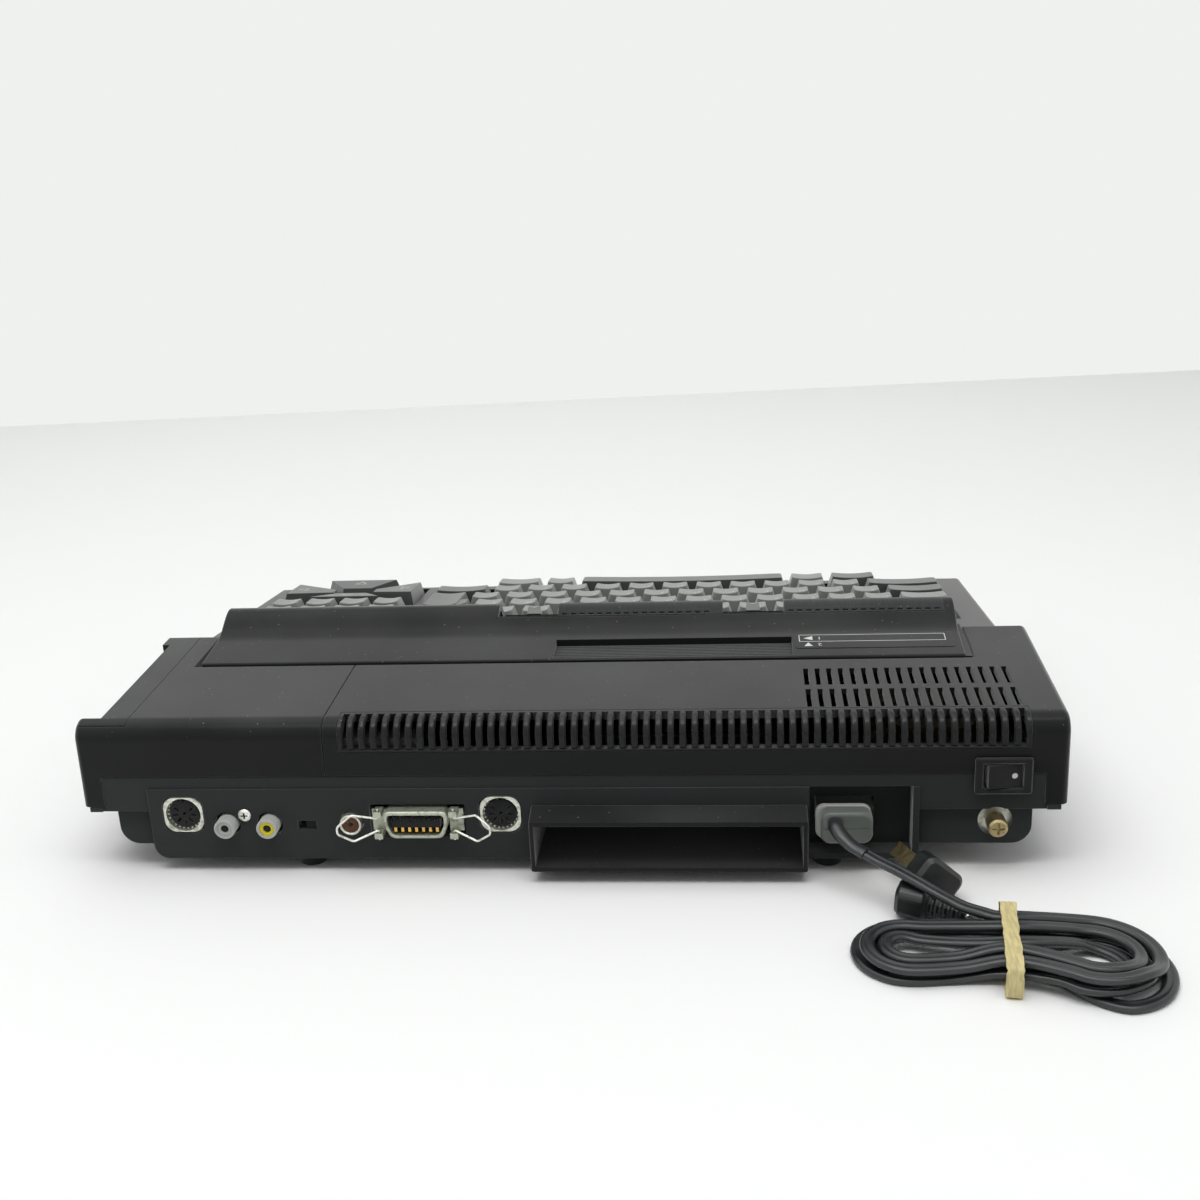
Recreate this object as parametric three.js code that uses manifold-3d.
// Home computer of the 1980s with its keyboard, disk drive and two cartridge slots in one case.
// Millimetres, +Z up, +X to the user's right, +Y to the rear panel. The origin is on the table
// under the middle of the case. Places along the depth are written as a distance from the rear
// face towards the user, and atDepth turns such a distance into y.

import * as THREE from 'three';
import { mergeVertices } from 'three/addons/utils/BufferGeometryUtils.js';
import Module from 'manifold-3d';

const wasm = await Module();
wasm.setup();

// Case
const caseWidth = 405;
const caseDepth = 290;
const shroudProud = 10.6;
const wall = 2.5;
const seam = 0.3;
const weld = 0.001;
const overrun = 4;
const edgeRadius = 2.7;
const sealWidth = 0.7;
const sealDepth = 0.6;
const skinProud = 0.5;

// Rear deck and rear face
const skirtHeight = 30.1;
const rearLean = 0.8;
const deckRearHeight = 67.1;
const deckRise = 3.1;
const deckDepth = 100.1;
const rearEdgeRadius = 8;
const deckNoseRadius = 3.4;
const tailInset = 9.1;
const tailTop = 43.7;
const tailSeamGap = 3.4;

// Keyboard deck
const keyFrontSetback = 14.13;
const keyDeckHeight = 36.2;
const keyTilt = THREE.MathUtils.degToRad(6.84);
const noseRadius = 6;
const frontSkirtHeight = 15;

// Under-case
const trayInset = 13.2;
const trayBottom = 11.4;
const traySetback = 3;
const trayFrontSetback = 7;
const trayRadius = 8;
const flangeThickness = 2;
const panLeftInset = 58;
const panRightInset = 28.3;
const panBottom = 6;
const panFrontSetback = 28;
const panRadius = 6;

// Feet
const footRadius = 6;
const footDepthRear = 10;
const footChamferShare = 0.14;
const footFrontSetback = 40;
const footInset = 93.7;

// Vents
const ventPitch = 4.86;
const ventSlotWidth = 2.2;
const edgeVentRightInset = 113.7;
const edgeVentLeftInset = 19;
const edgeVentDepth = 10;
const edgeVentBottom = 55.8;
const grilleMargin = 1.8;
const grilleThickness = 2.2;
const deckVentCount = 18;
const deckVentInset = 101.7;
const deckVentRows = [[12.7, 30], [34.4, 51.3]];

// Bridge over the cartridge slot
const bridgeLeftInset = 31.3;
const bridgeRightInset = 33.9;
const bridgeRear = 63.2;
const bridgeFront = 138.2;
const bridgeWall = 3.4;
const bridgeSkirt = 62.3;
const bridgeRimHeight = 69.8;
const bridgeRimRadius = 1.2;
const bridgeFlatEnd = 84;
const bridgeFlatHeight = 72.2;
const bridgeFrontShare = 1.4;
const bridgeSweepEnd = 97;
const bridgeSweepDrop = 4;
const bridgeSweepRise = 0.5;
const crestDepth = 106.5;
const crestHeight = 81;
const crestRun = 3;
const browDepth = 111.5;
const browDrop = 2;
const bridgeGapRear = 2;
const bridgeGapLeft = 3.2;
const bridgeGapRight = 2.4;
const bridgeSill = 4.7;
const ledgeWidth = 4;
const ledgeThickness = 2.2;

// Top cartridge slot and its flap
const flapLeftInset = 2.7;
const flapRightInset = 3.6;
const flapRear = 65.2;
const flapFront = 82.2;
const flapTop = 69.4;
const flapThickness = 1.8;
const flapHingeSetback = 1.4;
const flapHingeDrop = 1.2;
const flapTail = 0.6;
const flapPinRadius = 0.8;
const flapPinLength = 1.3;
const pinClearance = 0.25;
const guideThickness = 1.8;
const guideBottom = 48;

// Control panel on the bridge's brow
const panelLeftInset = 4.7;
const panelRightInset = 131.2;
const panelRear = 98;
const panelThickness = 1.6;
const panelFoot = 4;
const notchWidth = 28.1;
const notchRightInset = 14.1;
const notchLeftInset = 85.8;
const notchDepth = 2.4;
const grilleSlitPitch = 4.1;
const grilleSlitLength = 2.6;
const grilleSlitWidth = 0.9;
const grilleSlitDepth = 0.8;
const grilleSlitCount = 17;
const grilleSlitGap = 17;
const grilleSlitSetback = 1;
const sliderTravel = 8;
const sliderSlotWidth = 2.4;
const sliderKnobWidth = 7;
const sliderKnobDepth = 5.4;
const sliderKnobHeight = 4.2;
const sliderStemWidth = 3;
const sliderCrestShare = 0.8;
const sliderStemDepth = 9;
const sliderDrop = 12;
const pauseInset = 44.5;
const pauseWidth = 16;
const pauseDepth = 8;
const pauseProud = 2.4;
const pauseTravel = 2;
const pauseDrop = 16;

// Disk drive at the user's right and the cover over it
const coverWidth = 22.5;
const coverRear = 3.6;
const coverFront = 98.4;
const coverBottom = 34;
const scoopRear = 8;
const scoopFront = 88;
const scoopInset = 10.2;
const scoopFloor = 53;
const driveLength = 133.3;
const driveRear = 3.3;
const driveFront = 97.2;
const driveBottom = 35;
const driveTop = 59.4;
const diskSlotWidth = 90.8;
const diskSlotHeight = 4.2;
const diskSlotCentre = 51;
const diskSlotLevel = 48.2;
const driveSlotDeep = 40;
const ejectWidth = 12;
const ejectHeight = 5;
const ejectCentre = 84;
const ejectLevel = 40.6;
const ejectTravel = 4.5;
const ejectReach = 12.2;

// Rear cartridge slot
const shroudLeftGap = 0.9;
const shroudRightGap = 12.9;
const shroudBottom = 5.6;
const shroudTop = 27.9;
const shroudHoodTop = 30.4;
const shroudWall = 1.9;
const shroudInside = 45;

// Rear connectors: an inset is from the nearer side of the case to the middle
const rgbInset = 42.8;
const tapeInset = 177.5;
const dinHeight = 26.2;
const dinWidth = 17.4;
const dinTall = 16.4;
const dinRadius = 5.5;
const dinBoreRadius = 6.6;
const dinBoreDepth = 9;
const dinCoreRadius = 5.7;
const dinCoreRecess = 1.2;
const dinPinRadius = 0.75;
const dinPinCircle = 3.7;
const dinPinCount = 7;
const dinBodyDepth = 14;
const dinFloor = 1;
const dinArcShares = [-0.18, 1.36];
const audioInset = 61.6;
const videoInset = 79.7;
const phonoHeight = 22;
const phonoRadius = 4.4;
const phonoProud = 5;
const phonoBoreRadius = 1.8;
const phonoHoleRadius = 5.6;
const phonoBodyWidth = 11;
const phonoBodyDepth = 10;
const phonoBodyRise = 1;
const barrelLap = 2;
const rfInset = 114.7;
const rfHeight = 22.6;
const rfRadius = 4.6;
const rfProud = 2.6;
const rfCanWidth = 15;
const rfCanDepth = 36;
const rfCanHeight = 15;
const channelInset = 95.5;
const channelHeight = 21.4;
const channelWindowWidth = 8.2;
const channelWindowHeight = 4.4;
const channelTravel = 3.2;
const channelKnobWidth = 4.2;
const channelBodyWidth = 12;
const channelBodyDepth = 6;
const channelBodyRise = 1;
const printerInset = 142.7;
const printerHeight = 23.5;
const printerBracketWidth = 39.6;
const printerBracketHeight = 14.4;
const printerShellWidth = 26.8;
const printerShellHeight = 12.2;
const printerProud = 4.4;
const printerBodyDepth = 12;
const printerRim = 1.4;
const printerTongueHeight = 3;
const printerTongueInset = 4;
const printerTongueSink = 1;
const printerBodyInset = 1;
const printerFootShare = 0.82;
const earProud = 3.2;
const earSpan = 15.8;
const earHeight = 2.2;
const earWidth = 2.8;
const earClearance = 0.6;
const bailWire = 0.6;
const bailRootHalf = 2.6;
const bailKneeHalf = 6;
const bailKneeReach = 10.7;
const bailReach = 17;
const bailTipHalf = 1.6;
const bailSplay = THREE.MathUtils.degToRad(20);
const inletInset = 87;
const inletHeight = 22;
const inletWidth = 26.4;
const inletTall = 17.4;
const inletFlange = 1.8;
const inletRadius = 4;
const inletBodyWidth = 23.6;
const inletBodyTall = 14.6;
const inletBodyDepth = 20;
const bayInset = 60.5;
const bayWidth = 41.1;
const bayBottom = 8.5;
const bayTop = 38;
const bayDepth = 9;
const earthInset = 27.7;
const earthHeight = 21.8;
const earthHoleRadius = 6.8;
const earthHeadRadius = 3.7;
const earthProud = 8;
const earthNeckRadius = 2.4;
const earthPlateRadius = 7.4;
const earthPlateThickness = 1.4;
const earthHeadSink = 1.5;
const earthChamfer = 0.6;

// Power switch
const switchInset = 25.7;
const switchHeight = 42.9;
const switchWidth = 22.4;
const switchTall = 15.6;
const switchFrameProud = 1.2;
const switchBodyDepth = 20;
const switchWellShare = 0.6;
const rockerWidth = 15;
const rockerTall = 9.8;
const rockerPivotDepth = 3.2;
const rockerProud = 2.2;
const rockerThrow = THREE.MathUtils.degToRad(9);
const rockerEndShares = [0.94, 0.84];
const rockerEndDrop = 1;
const rockerDip = 0.4;

// Inside
const boardBottom = 16;
const boardThickness = 1.6;
const boardLeftInset = 2;
const boardRightInset = 5.2;
const boardRear = 6;
const boardFront = 150;
const bossRadius = 3;
const bossInset = 16;
const supportInset = 6;
const driveBossRadius = 3.5;
const driveBossInset = 14.3;
const slotContactInset = 10.05;
const slotContactDepth = 10;
const slotContactHeight = 11.5;
const slotMouthInset = 4;
const slotMouth = 2;
const boardSlotGap = 1.5;
const transformerInset = 47.5;
const transformerDepth = 54;
const transformerWidth = 54;
const transformerLength = 40;
const transformerHeight = 42;
const coilBulge = 6;
const coilWidthShare = 0.62;
const coilEndShare = 0.18;
const powerBoardLeftInset = 7.3;
const powerBoardRightGap = 6;
const powerBoardRear = 84;
const powerBoardFront = 132;
const finCount = 7;
const finPitch = 8;
const finThickness = 1.6;
const finHeight = 24;

// Keys
const keyColumns = 19;
const blockColumns = 15;
const padKeys = 4;
const functionKeys = 5;
const functionWidthShare = 1.5;
const returnWidthShares = [1.25, 1.5];
const keyRowCount = 5;
const keyGap = 1.05;
const keyTop = 7.5;
const keySkirt = 1.5;
const keySideTaper = 2.4;
const keyFrontTaper = 3;
const keyBackTaper = 1.6;
const keyDish = 0.9;
const keyDishSteps = 2;
const keyTravel = 3.4;
const stemSize = 5;
const stemReach = 12;
const plateDrop = 6.3;
const plateThickness = 1.2;
const plateInset = 6.5;
const plateFrontMargin = 2.4;
const plateRearMargin = 12.5;
const blockLeftMargin = 9.8;
const padGap = 10.85;
const padRightMargin = 9.4;
const padRearMargin = 1.7;
const functionRowGap = 7.2;
const functionRearMargin = 10.7;
const functionKeyDepth = 13;
const wellMargin = 1;
const postRadius = 2.5;
const cursorFrontDrop = 4.4;
const cursorRearGap = 2.7;
const cursorHalfWidth = 38;
const cursorHub = 5;
const cursorHubMargin = 4;
const cursorSideNotch = 12;
const cursorEndNotch = 8;
const cursorGap = 1.2;
const cursorInnerTop = 4.6;
const cursorOuterTop = 8;
const cursorTaper = 1.8;
const cursorTravel = 2.4;

// Mains cord: a flat twin cord in a tied hank, with its connector, sleeve and plug. Its places
// are measured from the rear panel: x, distance behind the panel, height.
const cordWidth = 5.6;
const cordThickness = 2.9;
const flatShare = 0.62;
const connectorWidth = 22;
const connectorTall = 14.6;
const connectorRadius = 4;
const connectorProud = 5.2;
const sleeveRoute = [
  [-110.9, 5.6, 24.8], [-110.9, 8.4, 24.7], [-112.7, 12.4, 23], [-116.8, 16.2, 20.4], [-121.7, 19.6, 18.9],
];
const sleeveRoot = [7.4, 6];
const sleeveTip = [6.4, 3.8];
const leadRoute = [
  [-122.05, 19.85, 18.79], [-127, 23.6, 17.5], [-133.4, 29, 16.6], [-139.6, 35, 15.6],
  [-145.6, 39.4, 13.8], [-151.2, 42.6, 11.9], [-155.2, 45, 10.8],
];
const hankCentre = [-169, 67.5];
const hankTurns = [-7.5, -5].map((angle) => THREE.MathUtils.degToRad(angle));
const hankLoops = 5;
const hankSteps = 30;
const waistShare = 0.5;
const gapSteps = 5;
const hankPitch = 6.6;
const hankWaist = 18.4;
const hankHalfLengths = [56, 59];
const hankLobes = [27, 23];
const hankClimb = 4.5;
const crossLift = 3.85;
const hankStart = 0.19;
const hankEndShare = 0.5;
const climbShare = 0.25;
const firstTurnShare = 0.3;
const cordClearance = 0.06;
const crossReach = 7;
const crossFade = 26;
const tieWidth = 6.4;
const tieThickness = 0.8;
const tieClearance = 0.45;
const tieLift = 1.25;
const tieFade = 22;
const tieCorner = 2;
const tieFall = 1.3;
const tailRoute = [
  [-158, 41.4, 3.4], [-161.8, 44.2, 3], [-166, 49.8, 2.7], [-171, 57, 2.7], [-177, 66, 2.5],
  [-183.4, 76.6, 2], [-189.6, 85.6, 1.6], [-197, 92, 1.51], [-206, 95, 1.51],
];
const exitRoute = [[-166.6, 52, 10.7], [-161.6, 49.3, 10.8], [-155.5, 45.2, 10.74]];
const plugNose = [-145.4, 18.6, 10.1];
const plugAim = [0.33, -0.94, -0.1];
const plugAcross = [-0.72, -0.18, -0.67];
const plugWidth = 19.6;
const plugTall = 14.4;
const plugLength = 11;
const plugRadius = 4;
const plugBevel = 1.6;
const plugHeelPlace = [-138.6, 33, 6.8];
const plugHeelAim = [-0.94, 0.34, -0.06];
const plugHeelLength = 12;
const plugHeelWidth = 14;
const plugHeelTall = 12.4;
const reliefLength = 14;
const reliefRootRadius = 4.2;
const reliefTipRadius = 2.9;
const reliefRibs = 4;
const reliefGroove = 0.8;
const reliefDrop = 1.8;
const bladeLength = 17;
const bladeWidth = 6.3;
const bladeThickness = 1.5;
const bladeSpacing = 12.7;

// Places that follow from the sizes above
const rearY = (caseDepth - shroudProud) / 2;
const atDepth = (depth) => rearY - depth;
const halfWidth = caseWidth / 2;
const clearTop = crestHeight + deckRearHeight;
const slope = Math.tan(keyTilt);
const keyboardRun = (caseDepth - keyFrontSetback - bridgeFront) / Math.cos(keyTilt);
const functionRun = functionRearMargin + functionKeyDepth + functionRowGap;
const rowPitch = (keyboardRun - plateRearMargin - functionRun) / keyRowCount;
const keyRowDepth = caseDepth - keyFrontSetback - 1.5 * rowPitch * Math.cos(keyTilt);
const deckHeightAt = (depth) => deckRearHeight + (deckRise * depth) / deckDepth;
const keyDeckAt = (depth) => keyDeckHeight + slope * (keyRowDepth - depth);
const boardTop = boardBottom + boardThickness;

const tailWidth = caseWidth - 2 * tailInset;
const trayWidth = caseWidth - 2 * trayInset;
const trayFront = caseDepth - trayFrontSetback;
const panLeft = panLeftInset - halfWidth;
const panRight = halfWidth - panRightInset;
const panFront = caseDepth - panFrontSetback;
const footDepthFront = caseDepth - footFrontSetback;
const footX = halfWidth - footInset;
const edgeVentFirstX = halfWidth - edgeVentRightInset;
const edgeVentCount = 1 + Math.floor((edgeVentFirstX + halfWidth - edgeVentLeftInset) / ventPitch);
const tailSeamX = edgeVentFirstX + tailSeamGap;
const deckVentFirstX = deckVentInset - halfWidth;

const bridgeLeft = bridgeLeftInset - halfWidth;
const bridgeRight = halfWidth - bridgeRightInset;
const bridgeSweepHeight = crestHeight - bridgeSweepDrop;
const browHeight = crestHeight - browDrop;
const panelLeft = bridgeLeft + panelLeftInset;
const panelRight = bridgeRight - panelRightInset;
const notchXs = [panelRight - notchRightInset, panelLeft + notchLeftInset];
const notchFloor = crestHeight - notchDepth;
const pauseX = panelLeft + pauseInset;
const coverInnerX = halfWidth - coverWidth;
const scoopTopX = halfWidth - scoopInset;
const driveRight = trayWidth / 2;
const driveLeft = driveRight - driveLength;

const dinXs = { rgb: halfWidth - rgbInset, tape: halfWidth - tapeInset };
const phonoXs = { audio: halfWidth - audioInset, video: halfWidth - videoInset };
const rfX = halfWidth - rfInset;
const channelX = halfWidth - channelInset;
const printerX = halfWidth - printerInset;
const inletX = inletInset - halfWidth;
const bayLeft = bayInset - halfWidth;
const bayRight = bayLeft + bayWidth;
const earthX = earthInset - halfWidth;
const switchX = switchInset - halfWidth;
const shroudLeft = bayRight + shroudLeftGap;
const shroudRight = dinXs.tape - shroudRightGap;
const flapLeft = shroudLeft + flapLeftInset;
const flapRight = shroudRight - flapRightInset;
const slotContactWidth = shroudRight - shroudLeft - 2 * slotContactInset;
const slotMouthWidth = slotContactWidth - 2 * slotMouthInset;
const boardLeft = shroudLeft + boardLeftInset;
const boardRight = panRight - boardRightInset;
const transformerX = transformerInset - halfWidth;
const powerBoardLeft = powerBoardLeftInset - trayWidth / 2;
const powerBoardRight = shroudLeft - powerBoardRightGap;

// The keys fill the plate: the pitch along a row follows its width, the pitch of the rows its depth
const plateHalfWidth = halfWidth - plateInset;
const keyPitch = (2 * plateHalfWidth - blockLeftMargin - padGap - padRightMargin) / keyColumns;
const blockFrontV = -1.5 * rowPitch;
const blockRearV = blockFrontV + keyRowCount * rowPitch;
const plateRearV = blockRearV + functionRun;
const plateFrontV = blockFrontV - plateFrontMargin;
const functionRowV = blockRearV + functionRowGap + functionKeyDepth / 2;
const keyBlockLeft = blockLeftMargin - plateHalfWidth;
const padCentre = plateHalfWidth - padRightMargin - (padKeys / 2) * keyPitch;
const padRowV = plateRearV - padRearMargin - 3.5 * rowPitch;
const cursorFrontV = blockFrontV - cursorFrontDrop;
const cursorHalfDepth = (padRowV - rowPitch / 2 - cursorRearGap - cursorFrontV) / 2;
const cursorV = cursorFrontV + cursorHalfDepth;

// Colours of the finishes
const finishes = {
  caseBlack: [0x2a2c2b, 0.6, 0],
  casePanel: [0x303231, 0.65, 0],
  keyGrey: [0x6a6d6b, 0.6, 0],
  keyDark: [0x3b3e3e, 0.6, 0],
  steel: [0xb9bbb4, 0.35, 1],
  brass: [0xb59d62, 0.4, 1],
  board: [0x2f5a3a, 0.6, 0],
  contactBlack: [0x17181a, 0.5, 0],
  rubber: [0x1b1c1c, 0.85, 0],
  cordGrey: [0x4a4c4d, 0.6, 0],
  connectorGrey: [0x6f7272, 0.5, 0],
  bandBuff: [0xd8c98f, 0.7, 0],
  inletPale: [0xb9bbb8, 0.5, 0],
  yellow: [0xd9c81e, 0.45, 0],
  wound: [0x8a6a35, 0.5, 0],
};

const computer = new THREE.Group();
const keyboard = new THREE.Group();
keyboard.position.set(0, atDepth(keyRowDepth), keyDeckHeight);
keyboard.rotation.x = keyTilt;
computer.add(keyboard);
keyboard.updateMatrixWorld(true);

const browRun = bridgeFront - browDepth;
const browFall = browHeight - keyDeckAt(bridgeFront);
const browAngle = Math.atan2(browFall, browRun);
const brow = new THREE.Group();
brow.position.set(0, atDepth(browDepth), browHeight);
brow.rotation.x = browAngle;
computer.add(brow);
brow.updateMatrixWorld(true);

// Solids from geometries

function solidOf(geometry) {
  const bare = geometry.clone();
  bare.deleteAttribute('normal');
  bare.deleteAttribute('uv');
  const welded = mergeVertices(bare);
  return new wasm.Manifold(new wasm.Mesh({
    numProp: 3,
    vertProperties: new Float32Array(welded.attributes.position.array),
    triVerts: new Uint32Array(welded.index.array),
  }));
}

function joined(solids) {
  return solids.reduce((whole, solid) => whole.add(solid));
}

function cutBy(solid, tools) {
  return tools.reduce((whole, tool) => whole.subtract(tool), solid);
}

function addPart(parent, name, shape, finish, place = [0, 0, 0]) {
  let geometry = shape;
  if (!shape.isBufferGeometry) {
    const mesh = shape.getMesh();
    geometry = new THREE.BufferGeometry();
    geometry.setAttribute('position', new THREE.BufferAttribute(mesh.vertProperties, 3));
    geometry.setIndex(new THREE.BufferAttribute(mesh.triVerts, 1));
  }
  geometry.computeVertexNormals();
  const [color, roughness, metalness] = finishes[finish];
  const part = new THREE.Mesh(geometry, new THREE.MeshStandardMaterial({ color, roughness, metalness }));
  part.name = name;
  part.position.set(...place);
  parent.add(part);
  return part;
}

function block(x0, x1, y0, y1, z0, z1) {
  const box = new THREE.BoxGeometry(x1 - x0, y1 - y0, z1 - z0);
  box.translate((x0 + x1) / 2, (y0 + y1) / 2, (z0 + z1) / 2);
  return solidOf(box);
}

// A block given by its depths from the rear face
function slab(x0, x1, rear, front, z0, z1) {
  return block(x0, x1, atDepth(front), atDepth(rear), z0, z1);
}

// A closed tube through the points. Its section is given as points (across, up) for each place.
function tubeThrough(points, sectionAt, up = new THREE.Vector3(0, 0, 1)) {
  const positions = [];
  const index = [];
  let sides = 0;
  points.forEach((point, i) => {
    const before = points[Math.max(i - 1, 0)];
    const after = points[Math.min(i + 1, points.length - 1)];
    const along = new THREE.Vector3().subVectors(after, before).normalize();
    const across = new THREE.Vector3().crossVectors(along, up).normalize();
    const lift = new THREE.Vector3().crossVectors(across, along);
    const section = sectionAt(i / (points.length - 1));
    sides = section.length;
    for (const [u, v] of section) {
      positions.push(...point.clone().addScaledVector(across, u).addScaledVector(lift, v).toArray());
    }
  });
  const last = (points.length - 1) * sides;
  for (let i = 0; i < points.length - 1; i += 1) {
    for (let k = 0; k < sides; k += 1) {
      const next = (k + 1) % sides;
      const here = i * sides;
      const there = here + sides;
      index.push(here + k, there + next, here + next, here + k, there + k, there + next);
    }
  }
  for (let k = 1; k < sides - 1; k += 1) {
    index.push(0, k, k + 1);
    index.push(last, last + k + 1, last + k);
  }
  const geometry = new THREE.BufferGeometry();
  geometry.setAttribute('position', new THREE.BufferAttribute(new Float32Array(positions), 3));
  geometry.setIndex(index);
  return geometry;
}

function ovalSection(width, height, sides) {
  return Array.from({ length: sides }, (_, k) => {
    const angle = (2 * Math.PI * k) / sides;
    return [(width / 2) * Math.cos(angle), (height / 2) * Math.sin(angle)];
  });
}

// The outline of a shape as straight runs, with points that fall together left out
function runsOf(shape, segments) {
  const points = [];
  for (const point of shape.getPoints(segments)) {
    if (points.length === 0 || point.distanceTo(points[points.length - 1]) > weld) points.push(point);
  }
  if (points[0].distanceTo(points[points.length - 1]) < weld) points.pop();
  return new THREE.Shape(points);
}

// A shape drawn in (y, z) and run along x
const sideways = new THREE.Matrix4().makeBasis(
  new THREE.Vector3(0, 1, 0),
  new THREE.Vector3(0, 0, 1),
  new THREE.Vector3(1, 0, 0),
);

function prismX(shape, x0, x1, segments = 5, bevel = {}) {
  const options = { depth: x1 - x0, bevelEnabled: false, ...bevel };
  const geometry = new THREE.ExtrudeGeometry(runsOf(shape, segments), options);
  geometry.applyMatrix4(sideways);
  geometry.translate(x0, 0, 0);
  return solidOf(geometry);
}

// A shape drawn in (x, z) and run along y
function prismY(shape, y0, y1, segments = 5) {
  const options = { depth: y1 - y0, bevelEnabled: false };
  const geometry = new THREE.ExtrudeGeometry(runsOf(shape, segments), options);
  geometry.rotateX(Math.PI / 2);
  geometry.translate(0, y1, 0);
  return solidOf(geometry);
}

// A shape drawn in (x, y) and run along z
function prismZ(shape, z0, z1, segments = 5) {
  const options = { depth: z1 - z0, bevelEnabled: false };
  const geometry = new THREE.ExtrudeGeometry(runsOf(shape, segments), options);
  geometry.translate(0, 0, z0);
  return solidOf(geometry);
}

function rodY(radius, x, z, y0, y1, sides = 16) {
  const geometry = new THREE.CylinderGeometry(radius, radius, y1 - y0, sides);
  geometry.translate(x, (y0 + y1) / 2, -z);
  const turned = geometry.clone();
  turned.rotateX(Math.PI);
  turned.translate(0, y0 + y1, 0);
  return solidOf(turned);
}

function rodX(radius, y, z, x0, x1, sides = 12) {
  const geometry = new THREE.CylinderGeometry(radius, radius, x1 - x0, sides);
  geometry.rotateZ(Math.PI / 2);
  geometry.translate((x0 + x1) / 2, y, z);
  return solidOf(geometry);
}

function rodZ(radius, x, y, z0, z1, sides = 12) {
  const geometry = new THREE.CylinderGeometry(radius, radius, z1 - z0, sides);
  geometry.rotateX(Math.PI / 2);
  geometry.translate(x, y, (z0 + z1) / 2);
  return solidOf(geometry);
}

function roundedRect(width, height, radius, x = 0, y = 0) {
  const left = x - width / 2;
  const right = x + width / 2;
  const low = y - height / 2;
  const high = y + height / 2;
  const shape = new THREE.Shape();
  shape.moveTo(left + radius, low);
  shape.lineTo(right - radius, low);
  shape.absarc(right - radius, low + radius, radius, -Math.PI / 2, 0);
  shape.absarc(right - radius, high - radius, radius, 0, Math.PI / 2);
  shape.absarc(left + radius, high - radius, radius, Math.PI / 2, Math.PI);
  shape.absarc(left + radius, low + radius, radius, Math.PI, 1.5 * Math.PI);
  return shape;
}

// A trough section, open at the top, with rounded bottom corners
function troughShape(left, right, low, high, radius) {
  const shape = new THREE.Shape();
  shape.moveTo(left, high);
  shape.lineTo(left, low + radius);
  shape.absarc(left + radius, low + radius, radius, Math.PI, 1.5 * Math.PI);
  shape.absarc(right - radius, low + radius, radius, 1.5 * Math.PI, 2 * Math.PI);
  shape.lineTo(right, high);
  return shape;
}

function polygon(points) {
  return new THREE.Shape(points.map(([u, v]) => new THREE.Vector2(u, v)));
}

// Outline of the upper case seen from the side, moved inwards by inset. The skirt's lower edge
// is level under the rear deck and falls towards the front.
function caseOutline(inset, open) {
  const shape = new THREE.Shape();
  const y = (depth) => atDepth(depth);
  const low = open ? -overrun : skirtHeight;
  const rearCentre = rearEdgeRadius + rearLean;
  const noseCentre = caseDepth - noseRadius;
  shape.moveTo(y(inset), low);
  shape.lineTo(y(rearLean + inset), deckRearHeight - rearEdgeRadius);
  shape.absarc(y(rearCentre), deckHeightAt(rearCentre) - rearEdgeRadius,
    rearEdgeRadius - inset, 0, Math.PI / 2);
  shape.lineTo(y(deckDepth - deckNoseRadius), deckHeightAt(deckDepth) - inset);
  shape.absarc(y(deckDepth - deckNoseRadius), deckHeightAt(deckDepth) - deckNoseRadius,
    deckNoseRadius - inset, Math.PI / 2, Math.PI);
  shape.lineTo(y(deckDepth - inset), keyDeckAt(deckDepth - inset) - inset);
  shape.lineTo(y(noseCentre), keyDeckAt(noseCentre) - inset);
  shape.absarc(y(noseCentre), keyDeckAt(noseCentre) - noseRadius, noseRadius - inset, Math.PI / 2, Math.PI);
  shape.lineTo(y(caseDepth - inset), open ? -overrun : frontSkirtHeight);
  if (!open) shape.lineTo(y(deckDepth), skirtHeight);
  return shape;
}

const edgeBevel = {
  bevelEnabled: true,
  bevelThickness: edgeRadius,
  bevelSize: edgeRadius,
  bevelOffset: -edgeRadius,
  bevelSegments: 2,
};
const caseBlank = prismX(caseOutline(0, false), edgeRadius - halfWidth, halfWidth - edgeRadius, 3, edgeBevel);
const caseInside = prismX(caseOutline(wall, true), wall - halfWidth, halfWidth - wall, 4);

// The zones of the case that other mouldings fill
const grilleLeft = edgeVentFirstX - ventSlotWidth - (edgeVentCount - 1) * ventPitch - grilleMargin;
const grilleRight = edgeVentFirstX + grilleMargin;
const grilleFront = edgeVentDepth + grilleMargin;
const grilleBottom = edgeVentBottom - grilleMargin;
function grilleZone(gap) {
  return slab(grilleLeft + gap, grilleRight - gap, -overrun, grilleFront - gap, grilleBottom + gap,
    clearTop);
}
function coverZone(gap) {
  return slab(coverInnerX + gap, halfWidth + overrun, coverRear + gap, coverFront - gap,
    coverBottom + gap, clearTop);
}

// Grooves that follow the surface of the case
const caseSkin = cutBy(
  prismX(caseOutline(-skinProud, false), -halfWidth, halfWidth, 5),
  [prismX(caseOutline(sealDepth, true), -halfWidth - overrun, halfWidth + overrun, 5)],
);
const tailGroove = caseSkin.intersect(
  slab(tailSeamX - sealWidth / 2, tailSeamX + sealWidth / 2, -overrun, bridgeRear - bridgeGapRear,
    tailTop, clearTop),
);

// Upper case: deck, keyboard frame and skirts in one moulding
function keyboardCut(x0, x1, v0, v1) {
  const box = new THREE.BoxGeometry(x1 - x0, v1 - v0, keyTop * 4);
  box.translate((x0 + x1) / 2, (v0 + v1) / 2, 0);
  box.applyMatrix4(keyboard.matrixWorld);
  return solidOf(box);
}

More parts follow.
